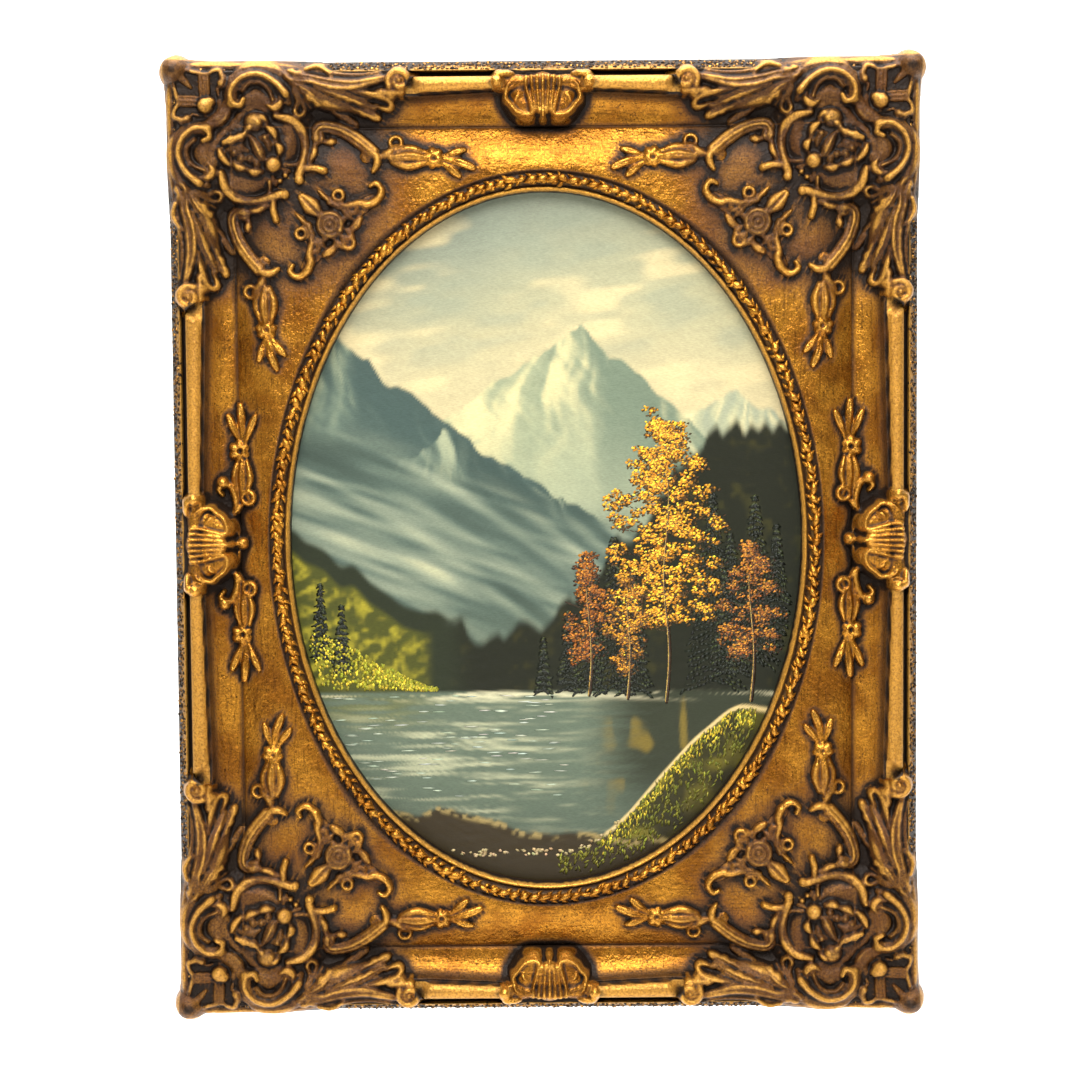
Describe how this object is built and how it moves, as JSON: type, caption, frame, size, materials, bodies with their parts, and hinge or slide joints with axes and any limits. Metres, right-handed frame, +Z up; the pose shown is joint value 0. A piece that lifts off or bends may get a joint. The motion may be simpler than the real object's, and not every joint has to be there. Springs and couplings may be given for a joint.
{
  "type": "framed oil painting",
  "caption": "Landscape painted in oil on an oval board, in a carved and gilded rectangular frame with an oval opening, hung from a toothed plate on its back.",
  "frame": {"origin": "on the flat back of the frame, at the middle of its width, at the teeth of the hanger plate on the top rail", "axes": "+Z up along the height, +X to the right of someone who faces the picture, +Y into the wall; the picture faces -Y"},
  "size_m": [0.4288, 0.0499, 0.5458],
  "materials": {
    "gilded_wood": "carved wood and composition, gilded over red bole, with dark wax in the recesses",
    "oil_paint": "oil paint on a primed board, varnished",
    "zinc_plate": "thin pressed steel, zinc plated",
    "brass_screw": "dull brass"
  },
  "bodies": {
    "root": {"frame": "gilded_wood", "painted_board": "oil_paint", "board_clip_1": "zinc_plate", "board_clip_2": "zinc_plate", "board_clip_3": "zinc_plate", "board_clip_4": "zinc_plate", "clip_screw_1": "brass_screw", "clip_screw_2": "brass_screw", "clip_screw_3": "brass_screw", "clip_screw_4": "brass_screw", "toothed_hanger": "zinc_plate", "hanger_screw_left": "brass_screw", "hanger_screw_right": "brass_screw"}
  },
  "joints": []
}
